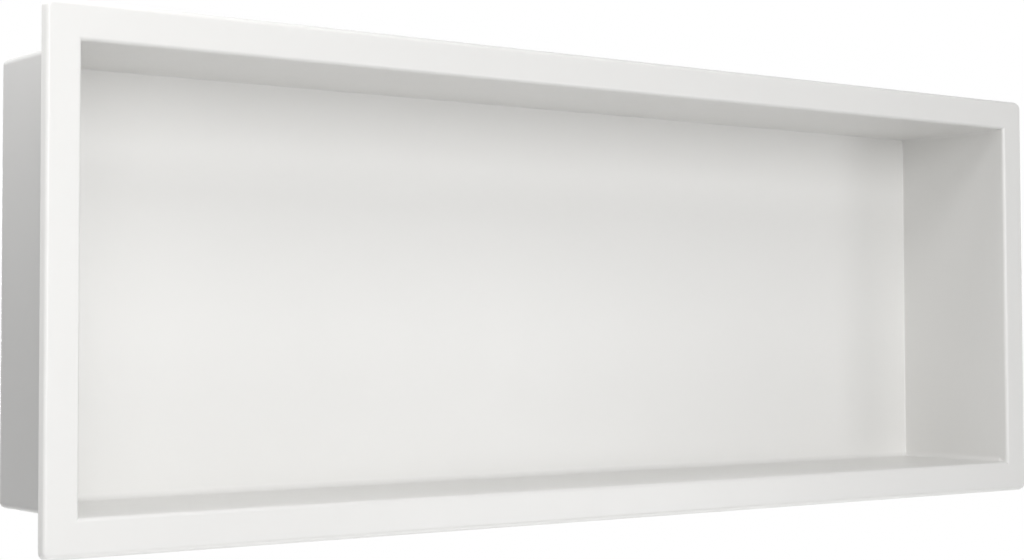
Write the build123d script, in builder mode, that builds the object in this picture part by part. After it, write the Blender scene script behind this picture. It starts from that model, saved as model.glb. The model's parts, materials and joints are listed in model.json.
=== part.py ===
from build123d import *
from math import cos, radians, tan
import os

# Shower niche insert: a wide shallow recess with a flat border, one thin-walled moulding.
# X runs along the width, Y goes into the wall and Z is up. The origin is the centre of the
# seat plane, where the rear edge of the border's return lip meets the face of the wall.

# Driving dimensions in millimetres, and one angle in degrees
opening_width = 900.0  # clear width between the side walls
opening_height = 300.0  # clear height between floor and ceiling
niche_depth = 120.0  # front of the border to the back wall
wall = 2.0  # thickness of the moulding
border_width = 26.0  # edge of the opening to the rear edge of the return lip
lip_depth = 4.0  # front of the border to the rear edge of the return lip
lip_draft = 30.0  # angle at which the return lip slants outwards to its rear edge
inside_radius = 1.0  # tight inside edges: behind the border, and round the back wall
corner_land = 2.0  # radius that each border corner keeps on the flat, inside its rolled edge
upper_radius = 3.0  # inside edges between ceiling and side walls
cove_radius = 5.0  # inside edges between floor, side walls and back wall
runout = 6.0  # length over which the edges along the side walls fade into the square mouth

# Sizes that follow from them
roll_radius = inside_radius + wall
rim_width = opening_width + 2 * border_width
rim_height = opening_height + 2 * border_width
lip_edge = wall / cos(radians(lip_draft))
lip_slant = lip_depth * tan(radians(lip_draft))
roll_inset = roll_radius * tan(radians(90 - lip_draft) / 2)
rim_corner_radius = corner_land + roll_inset + lip_slant
half_width = opening_width / 2
half_height = opening_height / 2

# Depths along Y, from the seat plane
front_y = -lip_depth
mouth_y = front_y + roll_radius
section_y = mouth_y + runout
back_y = front_y + niche_depth

# Clear section of the recess, with round upper corners and coved lower ones
with BuildSketch() as clear_section:
    Rectangle(opening_width, opening_height)
    fillet(clear_section.vertices().group_by(Axis.Y)[-1], upper_radius)
    fillet(clear_section.vertices().group_by(Axis.Y)[0], cove_radius)

# Corners of a square opening that this section fills, at the depth where its radii are full
with BuildSketch(Plane.XZ.offset(-section_y)) as corner_fills:
    Rectangle(opening_width, opening_height)
    add(clear_section.sketch, mode=Mode.SUBTRACT)

# Space inside the recess: its plan and its side view cross, so the rolled mouth mitres
with BuildPart() as recess:
    with BuildSketch(Plane.XY) as plan_view:
        with BuildLine():
            jamb_roll = JernArc((half_width + roll_radius, front_y), (-1, 0), roll_radius, -90)
            side_wall = Line(jamb_roll @ 1, (half_width, back_y))
            Line(side_wall @ 1, (0, back_y))
            Line((0, front_y), jamb_roll @ 0)
            mirror(about=Plane.YZ)
        make_face()
        back_corners = plan_view.vertices().group_by(Axis.Y)[-1].sort_by(Axis.X)
        fillet([back_corners[0], back_corners[-1]], inside_radius)
    extrude(amount=rim_height / 2, both=True)

    with BuildSketch(Plane.YZ) as side_view:
        with BuildLine():
            head_roll = JernArc((front_y, half_height + roll_radius), (0, -1), roll_radius, 90)
            ceiling = Line(head_roll @ 1, (back_y, half_height))
            back_wall = Line(ceiling @ 1, (back_y, -half_height))
            floor = Line(back_wall @ 1, (mouth_y, -half_height))
            sill_roll = JernArc(floor @ 1, (-1, 0), roll_radius, 90)
            Line(sill_roll @ 1, head_roll @ 0)
        make_face()
        fillet(side_view.vertices().group_by(Axis.X)[-1].sort_by(Axis.Y)[-1], inside_radius)
        fillet(side_view.vertices().group_by(Axis.X)[-1].sort_by(Axis.Y)[0], cove_radius)
    extrude(amount=rim_width / 2, both=True, mode=Mode.INTERSECT)

    extrude(corner_fills.sketch, amount=section_y - back_y, mode=Mode.SUBTRACT)
    for fill in corner_fills.sketch.faces():
        side = half_width if fill.center().X > 0 else -half_width
        level = half_height if fill.center().Z > 0 else -half_height
        loft([fill, Vertex(side, mouth_y, level)], ruled=True, mode=Mode.SUBTRACT)

# Outside of the recess: its radii keep the wall even, but for the thicker coves
with BuildPart() as tub:
    with BuildSketch(Plane.XZ.offset(-front_y)):
        RectangleRounded(opening_width + 2 * wall, opening_height + 2 * wall, upper_radius + wall)
    extrude(amount=-(niche_depth + wall))
    fillet(tub.faces().sort_by(Axis.Y)[-1].edges(), roll_radius)

# Space behind the border, inside its slanted lip
with BuildPart() as channel:
    with BuildSketch(Plane.XZ):
        RectangleRounded(rim_width - 2 * lip_edge, rim_height - 2 * lip_edge, rim_corner_radius - lip_edge)
    extrude(amount=lip_depth - wall, taper=lip_draft)
    fillet(channel.faces().sort_by(Axis.Y)[0].edges(), inside_radius)

# Whole moulding: hollow border with its slanted lip, then the tub, its bend and the space inside
with BuildPart() as niche_body:
    with BuildSketch(Plane.XZ):
        RectangleRounded(rim_width, rim_height, rim_corner_radius)
    extrude(amount=lip_depth, taper=lip_draft)
    fillet(niche_body.faces().sort_by(Axis.Y)[0].edges(), roll_radius)
    add(channel.part, mode=Mode.SUBTRACT)
    add(tub.part)
    border_rear = niche_body.faces().filter_by(Axis.Y).sort_by(Axis.Y)[1]
    fillet(border_rear.inner_wires()[0].edges(), inside_radius)
    add(recess.part, mode=Mode.SUBTRACT)

os.makedirs("parts", exist_ok=True)
niche_body.part.label = "niche_body"
export_step(niche_body.part, "parts/niche_body.step")
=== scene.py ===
import json
import math

import bmesh
import bpy
from bpy.props import FloatProperty, FloatVectorProperty, IntProperty, PointerProperty
from mathutils import Euler, Matrix, Vector


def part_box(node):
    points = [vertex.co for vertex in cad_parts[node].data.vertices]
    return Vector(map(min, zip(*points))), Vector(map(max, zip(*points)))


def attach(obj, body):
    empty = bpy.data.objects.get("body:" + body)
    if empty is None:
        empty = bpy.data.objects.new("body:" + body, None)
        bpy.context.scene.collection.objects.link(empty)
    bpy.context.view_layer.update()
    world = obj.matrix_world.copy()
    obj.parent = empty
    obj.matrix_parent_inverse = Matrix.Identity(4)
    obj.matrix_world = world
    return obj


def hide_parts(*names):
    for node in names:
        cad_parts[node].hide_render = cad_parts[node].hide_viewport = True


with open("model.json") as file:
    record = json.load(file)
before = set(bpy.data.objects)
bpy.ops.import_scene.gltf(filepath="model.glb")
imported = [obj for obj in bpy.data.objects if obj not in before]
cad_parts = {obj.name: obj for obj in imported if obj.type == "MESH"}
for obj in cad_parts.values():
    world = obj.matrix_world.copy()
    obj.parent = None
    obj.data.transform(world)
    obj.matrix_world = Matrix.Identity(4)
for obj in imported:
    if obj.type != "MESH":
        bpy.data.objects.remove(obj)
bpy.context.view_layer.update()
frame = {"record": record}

bl_info = {
    "name": "Shower Niche Insert",
    "version": (1, 0, 0),
    "blender": (4, 5, 0),
    "location": "View3D > Sidebar > Niche",
    "description": "Models a wide white shower niche insert and sets it in a plain studio",
    "category": "Object",
}

# The moulding's own solid gives the outside sizes, and its record the colour
SOLID = "niche_body"
low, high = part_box(SOLID)
moulding = frame["record"]["materials"][0]

# Sharp edges of the mesh: those that turn further than the angle, and fans of more edges at one point
CREASE_ANGLE = math.radians(12)
FAN_EDGES = 6

# Soft lamps in metres: name of the lamp and of its power, place, aim, and width and height
LAMPS = (
    ("front_softbox", (-0.4, -2.6, 0.45), (0, 0, 0), (0.8, 1.6)),
    ("high_softbox", (-0.8, -1.1, 1.3), (-0.6, 0, 0), (0.6, 0.6)),
    ("right_fill", (2.0, -2.6, -0.3), (0, 0, 0), (0.8, 0.8)),
    ("left_fill", (-0.75, -0.45, 0), (-0.47, 0, 0), (0.2, 0.6)),
    ("low_fill", (0, -0.45, -0.5), (0, 0, -0.16), (1.6, 0.15)),
    ("overhead_strip", (0, -0.1, 1.0), (0, -0.05, 0), (2.0, 0.2)),
    ("under_strip", (0, 0.11, -0.7), (0, 0.05, 0), (2.0, 0.2)),
    ("side_lamp", (-0.7, 0.1, 0.5), (-0.45, 0.05, 0), (0.3, 0.3)),
    ("rear_softbox", (0.5, 2.6, 0), (0, 0.12, 0), (1.2, 1.2)),
)


class NicheSizes(bpy.types.PropertyGroup):
    """Sizes of the moulding"""

    rim_width: FloatProperty(
        name="Rim Width", description="Width of the border over its rim",
        default=high.x - low.x, min=0.2, unit="LENGTH")
    rim_height: FloatProperty(
        name="Rim Height", description="Height of the border over its rim",
        default=high.z - low.z, min=0.2, unit="LENGTH")
    lip_depth: FloatProperty(
        name="Lip Depth", description="Front of the border to the rear edge of its return lip",
        default=-low.y, min=0.003, unit="LENGTH")
    lip_draft: FloatProperty(
        name="Lip Draft", description="Angle at which the return lip slants outwards to its rear edge",
        default=math.radians(30), min=0.0, max=math.radians(45), subtype="ANGLE")
    tub_depth: FloatProperty(
        name="Tub Depth", description="Rear edge of the return lip to the outside of the back",
        default=high.y, min=0.02, unit="LENGTH")
    border_width: FloatProperty(
        name="Border Width", description="Edge of the opening to the rear edge of the return lip",
        default=0.026, min=0.01, unit="LENGTH")
    wall: FloatProperty(
        name="Wall", description="Thickness of the moulding",
        default=0.002, min=0.001, unit="LENGTH")
    tight_radius: FloatProperty(
        name="Tight Radius", description="Inside edges behind the border and round the back wall",
        default=0.001, min=0.0002, unit="LENGTH")
    corner_land: FloatProperty(
        name="Corner Land", description="Radius each border corner keeps inside its rolled edge",
        default=0.002, min=0.0, unit="LENGTH")
    upper_radius: FloatProperty(
        name="Upper Radius", description="Inside edges between ceiling and side walls",
        default=0.003, min=0.0005, unit="LENGTH")
    cove_radius: FloatProperty(
        name="Cove Radius", description="Inside edges between floor, side walls and back wall",
        default=0.005, min=0.0005, unit="LENGTH")
    runout: FloatProperty(
        name="Run-out", description="Rolled mouth to the depth where the long edges have full radii",
        default=0.006, min=0.0, unit="LENGTH")
    arc_steps: IntProperty(
        name="Arc Steps", description="Flats in each quarter turn of the larger radii",
        default=10, min=2, max=24)


class NicheFinish(bpy.types.PropertyGroup):
    """Colour and surface of the moulding"""

    colour: FloatVectorProperty(
        name="Colour", description="White of the moulding",
        default=moulding["base_color"][:3], min=0.0, max=1.0, subtype="COLOR")
    roughness: FloatProperty(
        name="Roughness", description="Middle of the satin surface's roughness",
        default=0.32, min=0.05, max=1.0, subtype="FACTOR")
    refraction: FloatProperty(
        name="Refraction", description="Index of refraction of the plastic",
        default=1.5, min=1.0, max=3.0)
    tone_size: FloatProperty(
        name="Tone Size", description="Width of the patches in which the white drifts",
        default=1 / 7, min=0.001, unit="LENGTH")
    tone_drift: FloatProperty(
        name="Tone Drift", description="Share by which the white darkens at most",
        default=0.015, min=0.0, max=1.0, subtype="FACTOR")
    gloss_size: FloatProperty(
        name="Gloss Size", description="Width of the patches in which the gloss drifts",
        default=0.025, min=0.001, unit="LENGTH")
    gloss_drift: FloatProperty(
        name="Gloss Drift", description="Share by which the roughness goes up and down",
        default=0.15, min=0.0, max=1.0, subtype="FACTOR")
    ripple_size: FloatProperty(
        name="Ripple Size", description="Width of the faint ripples of the moulded skin",
        default=0.003, min=0.0005, unit="LENGTH")
    ripple_height: FloatProperty(
        name="Ripple Height", description="Height of the faint ripples of the moulded skin",
        default=0.000004, min=0.0, precision=6, unit="LENGTH")


class NicheStage(bpy.types.PropertyGroup):
    """Camera, lamps and floor"""

    camera_place: FloatVectorProperty(
        name="Camera Place", description="Where the camera stands",
        default=(-0.9941, -1.1643, -0.0403), subtype="TRANSLATION", unit="LENGTH")
    camera_turn: FloatProperty(
        name="Camera Turn", description="Turn of the view from straight in towards the right",
        default=math.radians(37.32), subtype="ANGLE")
    camera_rise: FloatProperty(
        name="Camera Rise", description="Tilt of the view above the level",
        default=math.radians(2.38), subtype="ANGLE")
    camera_roll: FloatProperty(
        name="Camera Roll", description="Turn of the picture about the line of sight",
        default=math.radians(-0.15), subtype="ANGLE")
    camera_lens: FloatProperty(
        name="Camera Lens", description="Focal length in millimetres on a 36 mm wide sensor",
        default=70.1, min=10.0)
    camera_shift: FloatProperty(
        name="Camera Shift", description="Upright shift of the lens as a share of the picture's width",
        default=-0.0213)
    floor_drop: FloatProperty(
        name="Floor Drop", description="Bottom of the rim down to the floor",
        default=0.6, min=0.0, unit="LENGTH")
    floor_reach: FloatProperty(
        name="Floor Reach", description="Middle of the floor to its sides",
        default=40.0, min=1.0, unit="LENGTH")
    shadow_reach: FloatProperty(
        name="Shadow Reach", description="How far out the floor starts to fade to white",
        default=0.8, min=0.0, unit="LENGTH")
    white_reach: FloatProperty(
        name="White Reach", description="How far out the floor is all white",
        default=3.0, min=0.0, unit="LENGTH")
    floor_colour: FloatVectorProperty(
        name="Floor Colour", description="Pale grey of the floor",
        default=(0.8, 0.8, 0.8), min=0.0, max=1.0, subtype="COLOR")
    room_light: FloatProperty(
        name="Room Light", description="Strength of the even light from all round",
        default=0.01, min=0.0)
    front_softbox: FloatProperty(
        name="Front Softbox", description="Main lamp, in front and a little to the left",
        default=37.5, min=0.0, unit="POWER")
    high_softbox: FloatProperty(
        name="High Softbox", description="Lamp high in front of the left end",
        default=8.8, min=0.0, unit="POWER")
    right_fill: FloatProperty(
        name="Right Fill", description="Lamp far to the right in front",
        default=10.0, min=0.0, unit="POWER")
    left_fill: FloatProperty(
        name="Left Fill", description="Upright lamp close to the left of the border",
        default=0.55, min=0.0, unit="POWER")
    low_fill: FloatProperty(
        name="Low Fill", description="Long lamp below the border in front",
        default=0.25, min=0.0, unit="POWER")
    overhead_strip: FloatProperty(
        name="Overhead Strip", description="Long lamp above the border",
        default=3.2, min=0.0, unit="POWER")
    under_strip: FloatProperty(
        name="Under Strip", description="Long lamp under the recess, behind the border",
        default=3.3, min=0.0, unit="POWER")
    side_lamp: FloatProperty(
        name="Side Lamp", description="Small lamp above the outside of the left wall",
        default=1.6, min=0.0, unit="POWER")
    rear_softbox: FloatProperty(
        name="Rear Softbox", description="Lamp behind the object, for the outside of its back",
        default=45.0, min=0.0, unit="POWER")


def ring(bm, width, height, y, radius=0.0, steps=1):
    """Add an upright rectangle across the niche at depth y, round its corners and return its face."""
    place = Matrix.Translation((0, y, 0)) @ Matrix.Rotation(math.pi / 2, 4, "X")
    scale = Matrix.Diagonal((width, height, 1, 1))
    corners = bmesh.ops.create_grid(
        bm, x_segments=1, y_segments=1, size=0.5, matrix=place @ scale)["verts"]
    if radius:
        corners = bmesh.ops.bevel(
            bm, geom=corners, offset=radius, offset_type="OFFSET", segments=steps,
            profile=0.5, affect="VERTICES", material=-1)["verts"]
    return corners[0].link_faces[0]


def open_ring(bm, *args, **settings):
    """Add a ring with no face and return its edges."""
    face = ring(bm, *args, **settings)
    edges = list(face.edges)
    bmesh.ops.delete(bm, geom=[face], context="FACES_ONLY")
    return edges


def roll_edges(bm, edges, radius, steps):
    """Round some edges to a radius."""
    bmesh.ops.bevel(
        bm, geom=edges, offset=radius, offset_type="OFFSET", segments=steps,
        profile=0.5, affect="EDGES", material=-1)


def shell_mesh(sizes):
    """The whole moulding as one closed mesh: rings joined from the back wall out to the back again."""
    steps = sizes.arc_steps
    wall = sizes.wall
    roll = sizes.tight_radius + wall
    front = -sizes.lip_depth
    back = sizes.tub_depth - wall
    full_section = front + roll + sizes.runout
    opening = (sizes.rim_width - 2 * sizes.border_width, sizes.rim_height - 2 * sizes.border_width)
    tub = (opening[0] + 2 * wall, opening[1] + 2 * wall)
    tub_corner = sizes.upper_radius + wall
    slope = math.tan(sizes.lip_draft)
    lip_edge = wall / math.cos(sizes.lip_draft)
    lip_roll = math.tan(math.pi / 4 - sizes.lip_draft / 2)
    rim_corner = sizes.corner_land + roll * lip_roll + sizes.lip_depth * slope
    lip_rings = (
        (sizes.lip_depth * slope, front), (0, 0), (lip_edge, 0),
        (lip_edge + (sizes.lip_depth - wall) * slope, front + wall))

    bm = bmesh.new()
    back_wall = list(ring(bm, *opening, back).edges)
    section = open_ring(bm, *opening, full_section)
    mouth = open_ring(bm, *opening, front)
    rim_front, rim_rear, lip_rear, channel = (
        open_ring(
            bm, sizes.rim_width - 2 * inset, sizes.rim_height - 2 * inset, y,
            radius=rim_corner - inset, steps=steps)
        for inset, y in lip_rings)
    tub_root = open_ring(bm, *tub, front + wall, radius=tub_corner, steps=steps)
    tub_rear = list(ring(bm, *tub, back + wall, radius=tub_corner, steps=steps).edges)
    flats = ((mouth, rim_front), (rim_rear, lip_rear), (channel, tub_root))
    walls = ((section, mouth), (rim_front, rim_rear), (lip_rear, channel), (tub_root, tub_rear))
    for here, there in flats + walls:
        bmesh.ops.bridge_loops(bm, edges=here + there)
    recess = bmesh.ops.bridge_loops(bm, edges=section + back_wall)["faces"]
    bmesh.ops.recalc_face_normals(bm, faces=bm.faces)

    floor = min(recess, key=lambda face: face.calc_center_median().z)
    ceiling = max(recess, key=lambda face: face.calc_center_median().z)
    floor_edges = [edge for edge in floor.edges if edge not in section]
    upper_edges = [edge for edge in ceiling.edges if edge not in section + back_wall]
    for edges, radius in (
            (mouth, roll), (rim_front, roll * lip_roll), (tub_rear, roll),
            (floor_edges, sizes.cove_radius), (upper_edges, sizes.upper_radius),
            (channel, sizes.tight_radius * lip_roll), (tub_root, sizes.tight_radius)):
        roll_edges(bm, edges, radius, steps)
    roll_edges(bm, back_wall_edges(bm, back)[1:], sizes.tight_radius, steps)
    bmesh.ops.recalc_face_normals(bm, faces=bm.faces)
    return bm


def back_wall_edges(bm, back):
    """Edges round the flat of the back wall, the lowest one first."""
    flat = next(face for face in bm.faces if all(abs(vert.co.y - back) < 1e-6 for vert in face.verts))
    return sorted(flat.edges, key=lambda edge: edge.verts[0].co.z + edge.verts[1].co.z)


def shade_faces(bm):
    """Smooth the rounds, and keep sharp edges and the fans where a round fades out, so flats stay flat."""
    for face in bm.faces:
        face.smooth = True
    for edge in bm.edges:
        fanned = any(len(vert.link_edges) > FAN_EDGES for vert in edge.verts)
        edge.smooth = edge.calc_face_angle() < CREASE_ANGLE and not fanned


def add_node(nodes, kind, **settings):
    """Add a shader node with some of its settings."""
    node = nodes.new(kind)
    for name, value in settings.items():
        setattr(node, name, value)
    return node


def add_noise(nodes, links, place, size):
    """Add noise in patches of one width and return it as a factor."""
    noise = add_node(nodes, "ShaderNodeTexNoise")
    noise.inputs["Scale"].default_value = 1.0 / size
    links.new(place, noise.inputs["Vector"])
    return noise.outputs["Fac"]


def satin_white_moulding(finish):
    """Satin white plastic with a faint drift of tone and gloss and the ripple of a moulded skin."""
    material = bpy.data.materials.new("satin_white_moulding")
    material.use_nodes = True
    nodes, links = material.node_tree.nodes, material.node_tree.links
    shader = nodes["Principled BSDF"]
    shader.inputs["IOR"].default_value = finish.refraction
    place = add_node(nodes, "ShaderNodeTexCoord").outputs["Object"]

    tone = add_node(nodes, "ShaderNodeMix", data_type="RGBA")
    tone.inputs["A"].default_value = (*finish.colour, 1.0)
    tone.inputs["B"].default_value = (*((1 - finish.tone_drift) * part for part in finish.colour), 1.0)
    links.new(add_noise(nodes, links, place, finish.tone_size), tone.inputs["Factor"])
    links.new(tone.outputs["Result"], shader.inputs["Base Color"])

    gloss = add_node(nodes, "ShaderNodeMapRange")
    gloss.inputs["To Min"].default_value = (1 - finish.gloss_drift) * finish.roughness
    gloss.inputs["To Max"].default_value = (1 + finish.gloss_drift) * finish.roughness
    links.new(add_noise(nodes, links, place, finish.gloss_size), gloss.inputs["Value"])
    links.new(gloss.outputs["Result"], shader.inputs["Roughness"])

    ripple = add_node(nodes, "ShaderNodeBump")
    ripple.inputs["Distance"].default_value = finish.ripple_height
    links.new(add_noise(nodes, links, place, finish.ripple_size), ripple.inputs["Height"])
    links.new(ripple.outputs["Normal"], shader.inputs["Normal"])
    return material


class NICHE_OT_shell(bpy.types.Operator):
    """Model the moulding and give it its satin white finish"""

    bl_idname = "niche.shell"
    bl_label = "Niche Shell"
    bl_options = {"REGISTER", "UNDO"}

    def execute(self, context):
        settings = context.scene
        bm = shell_mesh(settings.niche_sizes)
        shade_faces(bm)
        mesh = bpy.data.meshes.new("niche_shell")
        bm.to_mesh(mesh)
        bm.free()
        mesh.materials.append(satin_white_moulding(settings.niche_finish))
        shell = bpy.data.objects.new("niche_shell", mesh)
        context.collection.objects.link(shell)
        normals = shell.modifiers.new("even_flats", "WEIGHTED_NORMAL")
        normals.keep_sharp = True
        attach(shell, "root")
        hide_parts(SOLID)
        return {"FINISHED"}


def seen_directly(nodes, links):
    """A factor of 1 for what the camera sees, also in a reflection or through glass."""
    path = add_node(nodes, "ShaderNodeLightPath")
    seen = path.outputs["Is Camera Ray"]
    for kind in ("Is Glossy Ray", "Is Transmission Ray"):
        either = add_node(nodes, "ShaderNodeMath", operation="MAXIMUM")
        links.new(seen, either.inputs[0])
        links.new(path.outputs[kind], either.inputs[1])
        seen = either.outputs["Value"]
    return seen


def add_world(stage):
    """Even light from all round, in front of a white background."""
    world = bpy.data.worlds.new("studio_world")
    world.use_nodes = True
    nodes, links = world.node_tree.nodes, world.node_tree.links
    light = nodes["Background"]
    white = add_node(nodes, "ShaderNodeBackground")
    for background, strength in ((light, stage.room_light), (white, 1.0)):
        background.inputs["Color"].default_value = (1.0, 1.0, 1.0, 1.0)
        background.inputs["Strength"].default_value = strength
    choice = add_node(nodes, "ShaderNodeMixShader")
    links.new(seen_directly(nodes, links), choice.inputs["Fac"])
    links.new(light.outputs["Background"], choice.inputs[1])
    links.new(white.outputs["Background"], choice.inputs[2])
    links.new(choice.outputs["Shader"], nodes["World Output"].inputs["Surface"])
    bpy.context.scene.world = world


def pale_floor_finish(stage):
    """Pale matt floor that keeps the shadow near the object and fades to white further out."""
    material = bpy.data.materials.new("pale_floor")
    material.use_nodes = True
    nodes, links = material.node_tree.nodes, material.node_tree.links
    nodes.remove(nodes["Principled BSDF"])
    matt = add_node(nodes, "ShaderNodeBsdfDiffuse")
    matt.inputs["Color"].default_value = (*stage.floor_colour, 1.0)
    white = add_node(nodes, "ShaderNodeEmission")
    white.inputs["Strength"].default_value = 1.0
    place = add_node(nodes, "ShaderNodeTexCoord").outputs["Object"]
    reach = add_node(nodes, "ShaderNodeVectorMath", operation="LENGTH")
    links.new(place, reach.inputs[0])
    fade = add_node(nodes, "ShaderNodeMapRange", interpolation_type="SMOOTHSTEP")
    fade.inputs["From Min"].default_value = stage.shadow_reach
    fade.inputs["From Max"].default_value = stage.white_reach
    links.new(reach.outputs["Value"], fade.inputs["Value"])
    seen = add_node(nodes, "ShaderNodeMath", operation="MULTIPLY")
    links.new(seen_directly(nodes, links), seen.inputs[0])
    links.new(fade.outputs["Result"], seen.inputs[1])
    choice = add_node(nodes, "ShaderNodeMixShader")
    links.new(seen.outputs["Value"], choice.inputs["Fac"])
    links.new(matt.outputs["BSDF"], choice.inputs[1])
    links.new(white.outputs["Emission"], choice.inputs[2])
    links.new(choice.outputs["Shader"], nodes["Material Output"].inputs["Surface"])
    return material


def add_floor(context, stage):
    """Wide plain floor below the object."""
    bm = bmesh.new()
    bmesh.ops.create_grid(bm, x_segments=1, y_segments=1, size=stage.floor_reach)
    bmesh.ops.translate(bm, verts=bm.verts, vec=(0, 0, low.z - stage.floor_drop))
    mesh = bpy.data.meshes.new("studio_floor")
    bm.to_mesh(mesh)
    bm.free()
    mesh.materials.append(pale_floor_finish(stage))
    floor = bpy.data.objects.new("studio_floor", mesh)
    context.collection.objects.link(floor)


def add_lamp(context, name, place, aim, size, power):
    """Soft rectangular lamp at a place, turned to a point and out of sight itself."""
    light = bpy.data.lights.new(name, "AREA")
    light.shape = "RECTANGLE"
    light.size, light.size_y = size
    light.energy = power
    lamp = bpy.data.objects.new(name, light)
    lamp.location = place
    lamp.rotation_mode = "QUATERNION"
    lamp.rotation_quaternion = (Vector(aim) - Vector(place)).to_track_quat("-Z", "Y")
    lamp.visible_camera = False
    context.collection.objects.link(lamp)


def add_camera(context, stage):
    """Camera at the photograph's place and angle."""
    data = bpy.data.cameras.new("studio_camera")
    data.sensor_width = 36.0
    data.sensor_fit = "HORIZONTAL"
    data.lens = stage.camera_lens
    data.shift_y = stage.camera_shift
    camera = bpy.data.objects.new("studio_camera", data)
    level = Euler((math.pi / 2 + stage.camera_rise, 0, -stage.camera_turn)).to_matrix()
    turned = level @ Matrix.Rotation(stage.camera_roll, 3, "Z")
    camera.rotation_mode = "QUATERNION"
    camera.rotation_quaternion = turned.to_quaternion()
    camera.location = stage.camera_place
    context.collection.objects.link(camera)
    context.scene.camera = camera


class NICHE_OT_stage(bpy.types.Operator):
    """Set the white world, the pale floor, the soft lamps and the camera"""

    bl_idname = "niche.stage"
    bl_label = "Plain Studio"
    bl_options = {"REGISTER", "UNDO"}

    def execute(self, context):
        stage = context.scene.niche_stage
        add_world(stage)
        add_floor(context, stage)
        for name, place, aim, size in LAMPS:
            add_lamp(context, name, place, aim, size, getattr(stage, name))
        add_camera(context, stage)
        context.scene.view_settings.view_transform = "Standard"
        return {"FINISHED"}


class NICHE_PT_sidebar(bpy.types.Panel):
    """Shower niche insert and its studio"""

    bl_idname = "NICHE_PT_sidebar"
    bl_label = "Shower Niche Insert"
    bl_space_type = "VIEW_3D"
    bl_region_type = "UI"
    bl_category = "Niche"

    def draw(self, context):
        scene = context.scene
        groups = (
            (NICHE_OT_shell, (scene.niche_sizes, scene.niche_finish)),
            (NICHE_OT_stage, (scene.niche_stage,)))
        for operator, settings in groups:
            box = self.layout.box()
            for group in settings:
                for name in group.__annotations__:
                    box.prop(group, name)
            box.operator(operator.bl_idname)


classes = (NicheSizes, NicheFinish, NicheStage, NICHE_OT_shell, NICHE_OT_stage, NICHE_PT_sidebar)


def register():
    for each in classes:
        bpy.utils.register_class(each)
    bpy.types.Scene.niche_sizes = PointerProperty(type=NicheSizes)
    bpy.types.Scene.niche_finish = PointerProperty(type=NicheFinish)
    bpy.types.Scene.niche_stage = PointerProperty(type=NicheStage)


def unregister():
    del bpy.types.Scene.niche_stage
    del bpy.types.Scene.niche_finish
    del bpy.types.Scene.niche_sizes
    for each in reversed(classes):
        bpy.utils.unregister_class(each)


def main():
    register()
    bpy.ops.niche.shell()
    bpy.ops.niche.stage()


if __name__ == "__main__":
    main()
